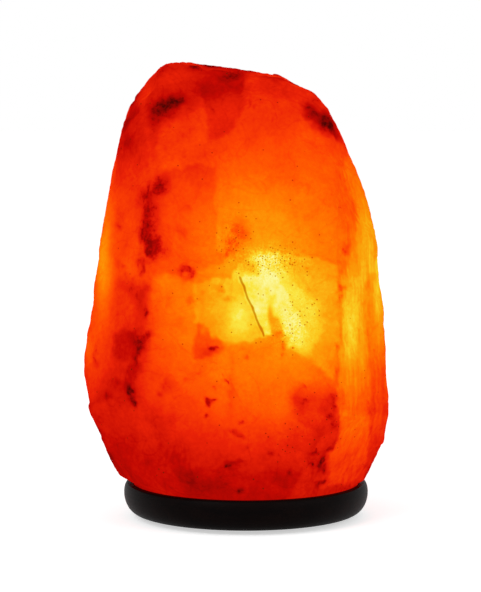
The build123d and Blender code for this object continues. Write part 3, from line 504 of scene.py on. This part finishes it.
# Clay and dirt caught in pits and seams on the front, and painted shade in thin lines along the top, top
# right and left-hand outlines, where the salt's edges look dark: (x, z, half width, half height, strength),
# in mm.
STAINS_AND_SHADE = [
    # along the top and the step below it; the long thin ones on the top edge and down the top left edge are
    # painted shade of the outline
    (-40, 214, 7, 3.5, 1.2), (-35, 216, 6, 3, 0.9), (-42, 210, 5, 3, 0.8), (-46, 206, 4, 4, 0.5),
    (-20, 233, 18, 2.5, 0.9), (10, 231, 8, 1.5, 0.8), (20, 227, 6, 1.5, 0.8), (-52, 224, 3, 6, 0.8),
    (-47, 231, 4, 4, 0.9), (-58, 214, 2.5, 6, 0.7), (-61, 205, 2, 6, 0.5), (-8, 227, 6, 3, 0.4),
    (-12, 221, 3, 2, 0.3), (-17.5, 212, 1, 1.5, 0.35), (2, 215, 1, 2, 0.3), (4.5, 213, 1, 1, 0.35),
    (13, 207, 1, 1, 0.25), (-22, 190, 3.5, 4, 0.3),
    # down the left-hand ridge
    (-46, 162, 4.5, 12, 0.35), (-46, 148, 4.5, 10, 0.35),
    (-45.5, 200, 2.5, 8, 0.35), (-45, 190, 2.5, 8, 0.35), (-43, 178, 3, 4, 0.6), (-41, 176, 4, 4, 0.6),
    (-45, 174, 3, 3, 1.0), (-42, 172, 2.5, 2, 0.9), (-49, 170, 3, 3, 0.8), (-52, 167, 3, 4, 0.6),
    (-47, 164, 4, 4, 0.7), (-49, 157, 4, 5, 0.8), (-50, 151, 3, 5, 0.7), (-46, 147, 4, 4, 1.0),
    (-46, 143, 3, 3.5, 1.3), (-42, 146, 4, 5, 0.6), (-39, 141, 3, 3, 0.5), (-51.5, 137, 1.6, 3.5, 1.0),
    (-51, 133, 1.5, 2, 0.8), (-48, 138, 3, 2, 0.5), (-31.5, 154, 2.5, 2.5, 0.6), (-30, 164, 2.5, 2, 0.4),
    (-60, 125, 3, 3, 0.4), (-57, 124, 2, 3, 0.5), (-53, 121, 3, 5, 0.5), (-52, 115, 3, 7, 0.5),
    (-49, 113, 1.5, 2, 0.9), (-55, 100, 5, 6, 0.5), (-48.5, 102.5, 1.6, 1.6, 1.2), (-51, 100, 2.5, 3, 0.8),
    (-52, 95, 3, 4, 0.9), (-54, 89, 2, 3, 0.7), (-56, 84, 2, 3, 0.5), (-58, 77, 2, 2.2, 1.6),
    (-57, 74.5, 2, 1.5, 1.0), (-56, 71, 1.5, 2, 0.9), (-55, 68, 1.5, 1.5, 0.9), (-59, 72, 3, 4, 0.4),
    (-49, 37, 2, 3, 0.3), (-57, 47, 3, 6, 0.3),
    # on the left-hand face; the last five, long and thin along the left-hand outline, are painted shade of it
    (-63, 154, 1.5, 1.5, 0.5), (-64, 136, 1.5, 3, 0.5), (-61, 134, 1, 1, 0.5), (-59, 195, 4, 5, 0.6),
    (-57, 211, 3, 8, 0.4), (-64, 78, 2, 2, 0.4), (-75.5, 87, 1.5, 4, 0.8), (-75, 93, 1.5, 3, 0.4),
    (-69, 71, 1.5, 1.5, 0.5), (-81, 95, 1.2, 8, 0.5), (-80, 75, 1.5, 8, 0.5), (-79, 62, 2, 6, 0.6),
    (-74, 48, 2.5, 5, 0.6), (-68, 36, 2, 5, 0.6),
    # round the clear field in front of the bulb
    (-32, 134, 2.2, 2, 1.0), (-29, 135, 2, 1.5, 0.8), (-28, 131.5, 2, 2, 0.9), (-26.5, 133, 1.5, 2, 0.6),
    (-4, 155, 4, 4, 1.0), (-1, 151, 3, 2, 0.9), (-6, 147, 4, 4, 0.8), (-9, 142, 3, 2, 0.9),
    (-9, 147, 2, 3, 0.5), (30, 135, 0.6, 0.6, 0.6), (-16.5, 96, 1.6, 1.2, 1.3), (-14, 97, 1, 0.8, 0.8),
    (-19, 94, 3, 2, 0.4), (-1, 92, 1, 0.8, 0.6), (19, 97, 0.8, 1.5, 0.8), (19, 93, 0.8, 1, 0.7),
    (23.5, 96.5, 1.2, 0.7, 0.7), (-11.5, 124.5, 2, 1.6, 0.45), (-9, 120, 2.5, 1, 0.7),
    (-28, 120.5, 2, 1.8, 0.4), (-7.5, 77, 1.6, 12, 0.5), (18, 102.5, 0.6, 0.6, 0.5),
    # below it
    (-42, 73.5, 1.5, 1.5, 0.5), (-37, 77, 4, 2.5, 0.45), (-40, 79, 2, 1.5, 0.3), (-29.5, 81.5, 1.5, 1.2, 0.4),
    (-18, 70, 2, 1.3, 1.1), (-16, 71.5, 1, 1, 1.0), (-19, 68, 1.2, 1.2, 0.9), (-19.5, 63, 0.9, 0.9, 0.9),
    (-10, 80, 0.9, 1.2, 1.0), (-10.5, 83.5, 0.7, 1, 0.5), (-16, 77, 0.7, 0.7, 0.5), (-22, 85, 0.7, 0.7, 0.4),
    (-1.5, 59.5, 0.9, 1, 0.9), (-5, 55, 1.5, 1.5, 0.6), (-3, 53, 2, 1, 0.5), (-8, 56, 0.7, 0.7, 0.4),
    (-7, 38.8, 3, 1.3, 0.9), (-9, 37.5, 1.5, 1, 0.6), (-3, 40, 2, 1, 0.5), (-2, 25, 1.5, 1.2, 0.7),
    (-28, 33, 6, 4, 0.35), (-20, 28, 8, 4, 0.35), (12, 44, 0.8, 0.8, 0.5), (16, 44, 0.8, 0.6, 0.5),
    (1, 47, 1, 1, 0.4), (21.5, 34, 1.2, 1.2, 0.7), (17, 31, 5, 3, 0.3),
    # down the right-hand ridge; the first four, along the top right outline, are painted shade of it
    (36, 216, 5, 2, 0.9), (44, 208, 3, 4, 0.9), (48, 200, 2, 5, 1.0), (50, 194, 1.5, 4, 0.7),
    (31, 213, 2, 1.2, 0.6), (35, 210, 4, 2, 1.1), (39, 206, 3, 3, 1.1), (42, 204, 3, 2.5, 1.1),
    (44, 200, 2.5, 4, 0.8), (40, 201, 3, 3, 0.6), (33, 206, 5, 3, 0.4), (47, 183, 2, 5, 0.35),
    (53, 163, 3, 8, 0.35), (50, 154, 2, 3, 0.4), (49, 144, 1.2, 2, 0.8), (47, 165, 0.7, 0.7, 0.8),
    (47, 125, 1.2, 1.5, 0.9), (46, 123.5, 0.8, 0.8, 0.6), (46.5, 120, 0.8, 1.2, 0.5),
    (58, 116.5, 0.6, 1.5, 0.6), (44.5, 96, 0.9, 2, 0.6), (44.5, 91, 1, 3, 0.6), (44, 83, 0.8, 2, 0.6),
    (42.5, 88, 2, 3, 0.3), (27, 70, 3, 3, 0.8), (25, 74, 2, 3, 0.6), (29.5, 71, 1.5, 1.5, 0.6),
    (28, 78, 0.7, 0.9, 0.6), (26, 66, 3, 2, 0.5), (33, 72, 3, 3, 0.5), (40, 70, 4, 3, 0.5),
    (42, 73, 2, 2, 0.5), (44, 69, 1.5, 4, 0.8), (41, 63, 2, 1.5, 0.7), (43, 60, 2, 4, 0.7),
    (37, 66, 4, 2, 0.5), (40, 57, 4, 3, 0.4), (43.5, 47.5, 1.2, 2.5, 0.8), (41, 45, 2, 1.5, 0.6),
    (34.5, 45, 0.8, 2, 0.6), (38, 38, 1.5, 2, 0.9), (39, 41, 1, 1.5, 0.6), (38, 34, 1.2, 1.5, 0.6),
    (32.5, 37.5, 1.2, 1.2, 0.8), (30, 30, 4, 2, 0.3), (39, 27.5, 1.5, 1, 0.8), (36, 26.5, 1.5, 1.5, 0.6),
    (60.5, 66, 0.4, 2, 0.5), (64, 92, 0.4, 2, 0.5),
]
SMALL_MARK, DENSER = 2.0, 1.7             # dirt lies denser in the smallest pits
stain_and_shade = np.zeros(len(skin))
for spot_x, spot_z, wide, high, strength in STAINS_AND_SHADE:
    if max(wide, high) <= SMALL_MARK:
        strength *= DENSER
    away = ((wander[:, 0] - spot_x) / wide) ** 2 + ((wander[:, 1] - spot_z) / high) ** 2
    stain_and_shade += strength * front * np.exp(-away)
# The rest of the lump has stains of the same kind, scattered, and is darker along its edges where faces meet:
# painted shade, as along the outlines at the front.
REAR_STAINS = 120
for place, size, strength in zip(skin[chance.integers(0, len(skin), REAR_STAINS)],
                                 chance.uniform(1.5, 6, REAR_STAINS), chance.uniform(0.4, 1.0, REAR_STAINS)):
    stain_and_shade += strength * (1 - front) * np.exp(-(((skin - place) / size) ** 2).sum(axis=1))
# painted shade along the edges
stain_and_shade += (1 - front) * ease(edge / 0.06) * (0.15 + 0.3 * waves(skin, 14))
# The top is darker all round, from 228 mm up: painted shade of its dark outline. Where stains and shade lie
# over each other they never get past 1.
SHADED_TOP_FROM, SHADED_TOP_OVER = 228, 5
stain_and_shade += 0.5 * ease((z - SHADED_TOP_FROM) / SHADED_TOP_OVER)
stain_and_shade = 1 - np.exp(-np.maximum(stain_and_shade, 0))

# A crack runs from the clear field's top edge down the left of the narrow pane: the distance from it in mm.
FAR_OFF, CRACK_WANDER = 20, 0.3
crack_top, crack_end = np.array([-3.0, 131.0]), np.array([8.4, 102.4])
crack_run = crack_end - crack_top
from_top = flat_place + CRACK_WANDER * warp - crack_top
part = np.clip((from_top @ crack_run) / (crack_run @ crack_run), 0, 1)
crack = np.linalg.norm(from_top - part[:, None] * crack_run, axis=1) + FAR_OFF * (1 - front)
# The salt is streaky right of the right-hand ridge.
RIDGE_X, RIDGE_OVER = 44, 4
streaks = front * ease((x - RIDGE_X) / RIDGE_OVER)
# Gritty places: (x, z, half width, half height, how gritty).
grit = np.zeros(len(skin))
for spot_x, spot_z, wide, high, dense in (
    (12, 139, 15, 7, 1.5), (-7, 150, 7, 9, 1.0), (27, 113, 9, 14, 0.6), (19, 103, 8, 7, 0.7),
    (30, 55, 18, 25, 0.25),
):
    grit += dense * front * np.exp(-((x - spot_x) / wide) ** 2 - ((z - spot_z) / high) ** 2)

# All this is kept on the mesh. The bore's wall is bright, has no stains and is far from the crack.
BORE_LEVEL = 0.9
inner_count = len(points) - len(skin)
for name, values, in_bore in (("level", level, BORE_LEVEL), ("stain_and_shade", stain_and_shade, 0), ("crack", crack, FAR_OFF),
                              ("streaks", streaks, 0), ("grit", grit, 0)):
    kept = lump.attributes.new(name, "FLOAT", "POINT")
    values = np.concatenate([values, np.full(inner_count, in_bore)])
    kept.data.foreach_set("value", values.astype(np.float32))

# Rock salt lit from within: the colour is how much light gets through, from pale yellow by the bulb, through
# orange, to a deep red where the salt is thick or stained, and along the outlines, where shade is painted in.
# The washed faces are matt: they scatter the light.
CLOUD, FLECK, FIBRE_WIDTH, FIBRE_LENGTH = 12 * MM, 2.0 * MM, 2.2 * MM, 45 * MM
FLAWS_APART, ROUGH_GRAIN = 25 * MM, 0.9 * MM
# Grains of dirt: how far apart, how big as a share of that, how rare, and how much more of them grit brings.
# They are drawn coarser than real ones, so that they show.
GRAINS_APART, GRAIN_SIZE, GRAIN_RARITY, GRIT_SHARE = 1.2 * MM, 0.32, 0.994, 0.3
CRACK_HALF, CRACK_EDGE = 0.2, 0.75        # mm: it is full up to the first and gone at the second
# How much each pattern changes the level.
CLOUD_SWING, FLECK_SWING, FIBRE_SWING, ROUGH_SWING = 0.18, 0.11, 0.20, 0.4
STAIN_AND_SHADE_SWING, CLAY_AND_SHADE_SWING, FLAW_SWING, DIRT_SWING = -0.17, -0.20, -0.025, -0.14
DIRT_COVER = 0.36                         # how much of the light the crack and the grains hold back
# the glow's colour, dimmed, is also the base colour, so it is lighter by the bulb: painted light
GLOW_STRENGTH, GLOW_IN_BASE_COLOUR = 0.88, 0.14    # the light that comes through, and what it reflects of the room's
LIGHT_LEVELS = [(0.0, "#4E0503"), (0.12, "#8E0603"), (0.24, "#C40A03"), (0.36, "#E92207"), (0.46, "#FB3F04"),
                (0.56, "#FE5C02"), (0.66, "#FE7C02"), (0.76, "#FBA00A"), (0.85, "#FBC81E"), (0.93, "#FAE542"),
                (1.0, "#FCF79A")]
salt, tree, place = new_material("rock salt, split, lit from within")
read = {}
for name in ("level", "stain_and_shade", "crack", "streaks", "grit"):
    read[name] = add(tree, "Attribute", attribute_name=name).outputs["Fac"]
clouds = add(tree, "TexNoise", {"Vector": place, "Scale": 1 / CLOUD, "Detail": 6, "Roughness": 0.62})
flecks = add(tree, "TexNoise", {"Vector": place, "Scale": 1 / FLECK, "Detail": 4, "Roughness": 0.6})
drawn = add(tree, "Mapping", {
    "Vector": place, "Scale": (1 / FIBRE_WIDTH, 1 / FIBRE_WIDTH, 1 / FIBRE_LENGTH)})
fibres = add(tree, "TexNoise", {"Vector": drawn, "Scale": 1.0, "Detail": 4, "Roughness": 0.55})
fibres = add(tree, "Math", {0: fibres, 1: 0.5}, operation="SUBTRACT")
fibres = add(tree, "Math", {0: fibres, 1: read["streaks"]}, operation="MULTIPLY")
# clay lies where the stains, the clouds and the flecks together are strong enough, and so does the painted
# shade of the outlines, which rides on the stains
clay_and_shade = add(tree, "Math", {0: read["stain_and_shade"], 1: 1.2}, operation="MULTIPLY")
clay_and_shade = add(tree, "Math", {0: clouds, 1: 0.7, 2: clay_and_shade}, operation="MULTIPLY_ADD")
clay_and_shade = add(tree, "Math", {0: flecks, 1: 1.8, 2: clay_and_shade}, operation="MULTIPLY_ADD")
clay_and_shade = add(tree, "MapRange", {"Value": clay_and_shade, "From Min": 1.7, "From Max": 2.6},
           interpolation_type="SMOOTHSTEP")
# hair-fine flaws run where a distorted noise passes through its middle value
flaws = add(tree, "TexNoise", {"Vector": place, "Scale": 1 / FLAWS_APART, "Detail": 3, "Distortion": 0.8})
flaws = add(tree, "Math", {0: flaws, 1: 0.5}, operation="SUBTRACT")
flaws = add(tree, "Math", {0: flaws}, operation="ABSOLUTE")
flaws = add(tree, "MapRange", {"Value": flaws, "From Max": 0.02, "To Min": 1.0, "To Max": 0.0})
crack_line = add(tree, "MapRange", {
    "Value": read["crack"], "From Min": CRACK_HALF, "From Max": CRACK_EDGE, "To Min": 1.0, "To Max": 0.0},
    interpolation_type="SMOOTHSTEP")
# grains of dirt: a few of the cells of a Voronoi pattern, more of them where it is gritty
grains = add(tree, "TexVoronoi", {"Vector": place, "Scale": 1 / GRAINS_APART}, feature="F1")
near_grain = add(tree, "Math", {0: grains.outputs["Distance"], 1: GRAIN_SIZE}, operation="LESS_THAN")
grain_pick = add(tree, "SeparateColor", {"Color": grains.outputs["Color"]})
grain_pick = add(tree, "Math", {0: read["grit"], 1: GRIT_SHARE, 2: grain_pick}, operation="MULTIPLY_ADD")
grain_pick = add(tree, "Math", {0: grain_pick, 1: GRAIN_RARITY}, operation="GREATER_THAN")
grain = add(tree, "Math", {0: near_grain, 1: grain_pick}, operation="MULTIPLY")
# where it is gritty the face is rough as well
rough = add(tree, "TexNoise", {"Vector": place, "Scale": 1 / ROUGH_GRAIN, "Detail": 3, "Roughness": 0.7})
rough = add(tree, "Math", {0: rough, 1: 0.5}, operation="SUBTRACT")
rough = add(tree, "Math", {0: rough, 1: read["grit"]}, operation="MULTIPLY")
# the noises are about 0.5 on average, so half their swing is taken off again
light = add(tree, "Math", {0: read["level"], 1: (CLOUD_SWING + FLECK_SWING) / 2}, operation="SUBTRACT")
for pattern, swing in ((clouds, CLOUD_SWING), (flecks, FLECK_SWING), (fibres, FIBRE_SWING),
                       (read["stain_and_shade"], STAIN_AND_SHADE_SWING), (clay_and_shade, CLAY_AND_SHADE_SWING), (flaws, FLAW_SWING),
                       (rough, ROUGH_SWING), (crack_line, DIRT_SWING), (grain, DIRT_SWING)):
    light = add(tree, "Math", {0: pattern, 1: swing, 2: light}, operation="MULTIPLY_ADD")
shade = add(tree, "ValToRGB", {"Fac": light})
while len(shade.color_ramp.elements) < len(LIGHT_LEVELS):
    shade.color_ramp.elements.new(0.5)
for stop, (at, code) in zip(shade.color_ramp.elements, LIGHT_LEVELS):
    stop.position, stop.color = at, colour(code)
# the crack and the grains are olive brown, and let some of the light by
dark = add(tree, "Math", {0: crack_line, 1: grain}, operation="MAXIMUM")
dark = add(tree, "Math", {0: dark, 1: DIRT_COVER}, operation="MULTIPLY")
shade = add(tree, "Mix", {0: dark, 6: shade, 7: colour("#5A2A02")}, data_type="RGBA").outputs[2]
# the base colour: a dimmed copy of the painted glow
body = add(tree, "Mix", {0: GLOW_IN_BASE_COLOUR, 6: colour("#000000"), 7: shade}, data_type="RGBA")
pits = add(tree, "Bump", {"Strength": 0.5, "Distance": 0.3 * MM, "Height": flecks})
surface = add(tree, "BsdfPrincipled", {
    "Base Color": body.outputs[2], "Roughness": 0.6, "IOR": 1.544, "Specular IOR Level": 0.0,
    "Emission Color": shade, "Emission Strength": GLOW_STRENGTH, "Normal": pits})
add(tree, "OutputMaterial", {"Surface": surface})
lump.materials.append(salt)
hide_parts("salt_crystal")
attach(crystal, "lamp_body")

# ---- Screw plugs -----------------------------------------------------------------------------------------
# Three ribbed plugs of nylon, cemented into holes drilled in the crystal's foot. The screws through the base
# bite into them.

# Nylon, injection moulded: milky white, a little see-through at the edges, with a soft even shine.
nylon, tree, place = new_material("nylon, injection moulded")
milky = add(tree, "TexNoise", {"Vector": place, "Scale": 1 / (3 * MM), "Detail": 3})
white = add(tree, "ValToRGB", {"Fac": milky})
white.color_ramp.elements[0].position, white.color_ramp.elements[0].color = 0.3, colour("#D9D6CC")
white.color_ramp.elements[1].position, white.color_ramp.elements[1].color = 0.7, colour("#E8E6DE")
surface = add(tree, "BsdfPrincipled", {"Base Color": white, "Roughness": 0.45, "Subsurface Weight": 0.15,
                                       "Subsurface Scale": 1.0 * MM})
add(tree, "OutputMaterial", {"Surface": surface})
dress(nylon, "screw_plugs")

# ---- Lampholder: cap and barrel --------------------------------------------------------------------------
# The two halves of the lampholder's shell, screwed together. The cap closes it below and takes in the cord,
# the barrel holds the core and carries the clip.

# Black phenolic, compression moulded: deep black with a soft polish, faintly mottled by its wood flour.
FILLER = 0.7 * MM
phenolic, tree, place = new_material("phenolic, black, compression moulded")
filler = add(tree, "TexNoise", {"Vector": place, "Scale": 1 / FILLER, "Detail": 4, "Roughness": 0.6})
black = add(tree, "ValToRGB", {"Fac": filler})
black.color_ramp.elements[0].position, black.color_ramp.elements[0].color = 0.35, colour("#0B0A0A")
black.color_ramp.elements[1].position, black.color_ramp.elements[1].color = 0.7, colour("#1A1716")
polish = add(tree, "MapRange", {"Value": filler, "To Min": 0.25, "To Max": 0.4})
surface = add(tree, "BsdfPrincipled", {"Base Color": black, "Roughness": polish})
add(tree, "OutputMaterial", {"Surface": surface})
dress(phenolic, "holder_cap", "holder_barrel")

# ---- Lampholder core -------------------------------------------------------------------------------------
# A pressed and fired block of steatite that holds the brass parts apart and stands the heat of the bulb.

# Steatite, fired, unglazed: matt cream white with a fine dry grain.
FIRED_GRAIN = 0.3 * MM
steatite, tree, place = new_material("steatite, fired, unglazed")
dry = add(tree, "TexNoise", {"Vector": place, "Scale": 1 / FIRED_GRAIN, "Detail": 3})
cream = add(tree, "ValToRGB", {"Fac": dry})
cream.color_ramp.elements[0].position, cream.color_ramp.elements[0].color = 0.3, colour("#D8D2C2")
cream.color_ramp.elements[1].position, cream.color_ramp.elements[1].color = 0.7, colour("#E9E4D8")
rough = add(tree, "Bump", {"Strength": 0.3, "Distance": 0.05 * MM, "Height": dry})
surface = add(tree, "BsdfPrincipled", {"Base Color": cream, "Roughness": 0.85, "Specular IOR Level": 0.3,
                                       "Normal": rough})
add(tree, "OutputMaterial", {"Surface": surface})
dress(steatite, "holder_core")

# ---- Brass parts of the lampholder -----------------------------------------------------------------------
# The screw shell is rolled from strip with the E14 thread in it, the two contacts are sprung strips, and the
# terminal screws clamp the cord's wires.

# Brass, pressed and rolled: yellow, lightly browned in patches by heat, with fine rolling marks.
brass, tree, place = new_material("brass, pressed and rolled")
browned = add(tree, "TexNoise", {"Vector": place, "Scale": 1 / (4 * MM), "Detail": 5, "Roughness": 0.6})
yellow = add(tree, "ValToRGB", {"Fac": browned})
yellow.color_ramp.elements[0].position, yellow.color_ramp.elements[0].color = 0.35, colour("#9C7A34")
yellow.color_ramp.elements[1].position, yellow.color_ramp.elements[1].color = 0.65, colour("#D6B25C")
sheen = add(tree, "MapRange", {"Value": browned, "To Min": 0.4, "To Max": 0.22})
surface = add(tree, "BsdfPrincipled", {"Base Color": yellow, "Metallic": 1.0, "Roughness": sheen})
add(tree, "OutputMaterial", {"Surface": surface})
dress(brass, "screw_shell", "centre_contact", "shell_contact", "terminal_screws")

# ---- Spring clip -----------------------------------------------------------------------------------------
# A band round the barrel with two bowed wings riveted to it. The wings press on the wall of the bore and are
# squeezed together to pull the lampholder out.

# Spring steel, rolled and blued: blue-grey, straw-coloured in places, with the fine lines of rolling.
ROLL_LINE = 0.15 * MM
spring, tree, place = new_material("spring steel, rolled and blued")
rolled = add(tree, "Mapping", {"Vector": place, "Scale": (1 / ROLL_LINE, 1 / ROLL_LINE, 0.02 / ROLL_LINE)})
lines = add(tree, "TexNoise", {"Vector": rolled, "Scale": 1.0, "Detail": 2})
heat = add(tree, "TexNoise", {"Vector": place, "Scale": 1 / (7 * MM), "Detail": 3})
blued = add(tree, "ValToRGB", {"Fac": heat})
blued.color_ramp.elements[0].position, blued.color_ramp.elements[0].color = 0.35, colour("#6A717C")
blued.color_ramp.elements[1].position, blued.color_ramp.elements[1].color = 0.7, colour("#8F8878")
sheen = add(tree, "MapRange", {"Value": lines, "To Min": 0.22, "To Max": 0.42})
surface = add(tree, "BsdfPrincipled", {"Base Color": blued, "Metallic": 1.0, "Roughness": sheen})
add(tree, "OutputMaterial", {"Surface": surface})
dress(spring, "clip_band", "clip_wing_right", "clip_wing_left")

# ---- Bulb cap --------------------------------------------------------------------------------------------
# The bulb's screw cap is pressed from thin sheet. A cone of black glass keeps it from the tip contact, which
# is a blob of solder.

# Brass, nickel plated: grey-white metal with a slightly warm, cloudy shine.
nickel, tree, place = new_material("brass, pressed, nickel plated")
cloudy = add(tree, "TexNoise", {"Vector": place, "Scale": 1 / (2.5 * MM), "Detail": 4})
plated = add(tree, "ValToRGB", {"Fac": cloudy})
plated.color_ramp.elements[0].position, plated.color_ramp.elements[0].color = 0.3, colour("#A9A69E")
plated.color_ramp.elements[1].position, plated.color_ramp.elements[1].color = 0.7, colour("#CBC8C0")
sheen = add(tree, "MapRange", {"Value": cloudy, "To Min": 0.18, "To Max": 0.34})
surface = add(tree, "BsdfPrincipled", {"Base Color": plated, "Metallic": 1.0, "Roughness": sheen})
add(tree, "OutputMaterial", {"Surface": surface})
dress(nickel, "bulb_cap")

# Black glass, pressed: a hard, wet-looking black.
black_glass, tree, place = new_material("glass, black, pressed")
cords = add(tree, "TexNoise", {"Vector": place, "Scale": 1 / (2 * MM), "Detail": 2})
wet = add(tree, "MapRange", {"Value": cords, "To Min": 0.05, "To Max": 0.14})
surface = add(tree, "BsdfPrincipled", {"Base Color": colour("#0C0A0E"), "Roughness": wet, "IOR": 1.52})
add(tree, "OutputMaterial", {"Surface": surface})
dress(black_glass, "bulb_insulator")

# Solder, melted on: dull silver grey, frosted where it has cooled.
solder, tree, place = new_material("tin solder, melted on")
frosted = add(tree, "TexNoise", {"Vector": place, "Scale": 1 / (0.8 * MM), "Detail": 4})
sheen = add(tree, "MapRange", {"Value": frosted, "To Min": 0.25, "To Max": 0.55})
surface = add(tree, "BsdfPrincipled", {"Base Color": colour("#B6B6B2"), "Metallic": 1.0, "Roughness": sheen})
add(tree, "OutputMaterial", {"Surface": surface})
dress(solder, "bulb_tip")

# ---- Bulb glass and stem ---------------------------------------------------------------------------------
# A thin blown bulb of clear glass, sealed at its neck to the pressed glass stem that carries the wires.

# Clear soda-lime glass, blown: invisible but for its reflections and darker edges.
clear_glass, tree, place = new_material("soda-lime glass, clear, blown")
drawn = add(tree, "Mapping", {"Vector": place, "Scale": (1 / (3 * MM), 1 / (3 * MM), 1 / (20 * MM))})
ripple = add(tree, "TexNoise", {"Vector": drawn, "Scale": 1.0, "Detail": 1})
blown = add(tree, "Bump", {"Strength": 0.1, "Distance": 0.1 * MM, "Height": ripple})
surface = add(tree, "BsdfPrincipled", {"Base Color": colour("#FBFCFB"), "Roughness": 0.02, "IOR": 1.52,
                                       "Transmission Weight": 1.0, "Normal": blown})
add(tree, "OutputMaterial", {"Surface": surface})
dress(clear_glass, "bulb_glass", "bulb_stem")

# ---- Bulb wires ------------------------------------------------------------------------------------------
# Two lead wires come up out of the stem and carry the filament's ends; three finer supports hold it up in
# between.

# Nickel wire, drawn: plain grey metal with lines along it.
wire, tree, place = new_material("nickel wire, drawn")
drawn = add(tree, "Mapping", {"Vector": place, "Scale": (1 / (0.1 * MM), 1 / (0.1 * MM), 1 / (4 * MM))})
lines = add(tree, "TexNoise", {"Vector": drawn, "Scale": 1.0, "Detail": 2})
sheen = add(tree, "MapRange", {"Value": lines, "To Min": 0.25, "To Max": 0.45})
surface = add(tree, "BsdfPrincipled", {"Base Color": colour("#9D9B96"), "Metallic": 1.0, "Roughness": sheen})
add(tree, "OutputMaterial", {"Surface": surface})
dress(wire, "bulb_leads", "filament_supports")

# ---- Filament --------------------------------------------------------------------------------------------
# A fine coil of tungsten wire, hung in a ring between the leads. It is lit.

# Tungsten, drawn and coiled, white hot: a small, very bright yellow-white line, a little unevenly bright.
hot, tree, place = new_material("tungsten, drawn, coiled and lit")
uneven = add(tree, "TexNoise", {"Vector": place, "Scale": 1 / (6 * MM), "Detail": 2})
glow = add(tree, "ValToRGB", {"Fac": uneven})
glow.color_ramp.elements[0].position, glow.color_ramp.elements[0].color = 0.3, colour("#FFC26A")
glow.color_ramp.elements[1].position, glow.color_ramp.elements[1].color = 0.7, colour("#FFE2A8")
surface = add(tree, "BsdfPrincipled", {"Base Color": colour("#5A5A58"), "Metallic": 1.0, "Roughness": 0.4,
                                       "Emission Color": glow, "Emission Strength": 4.0})
add(tree, "OutputMaterial", {"Surface": surface})
dress(hot, "bulb_filament")
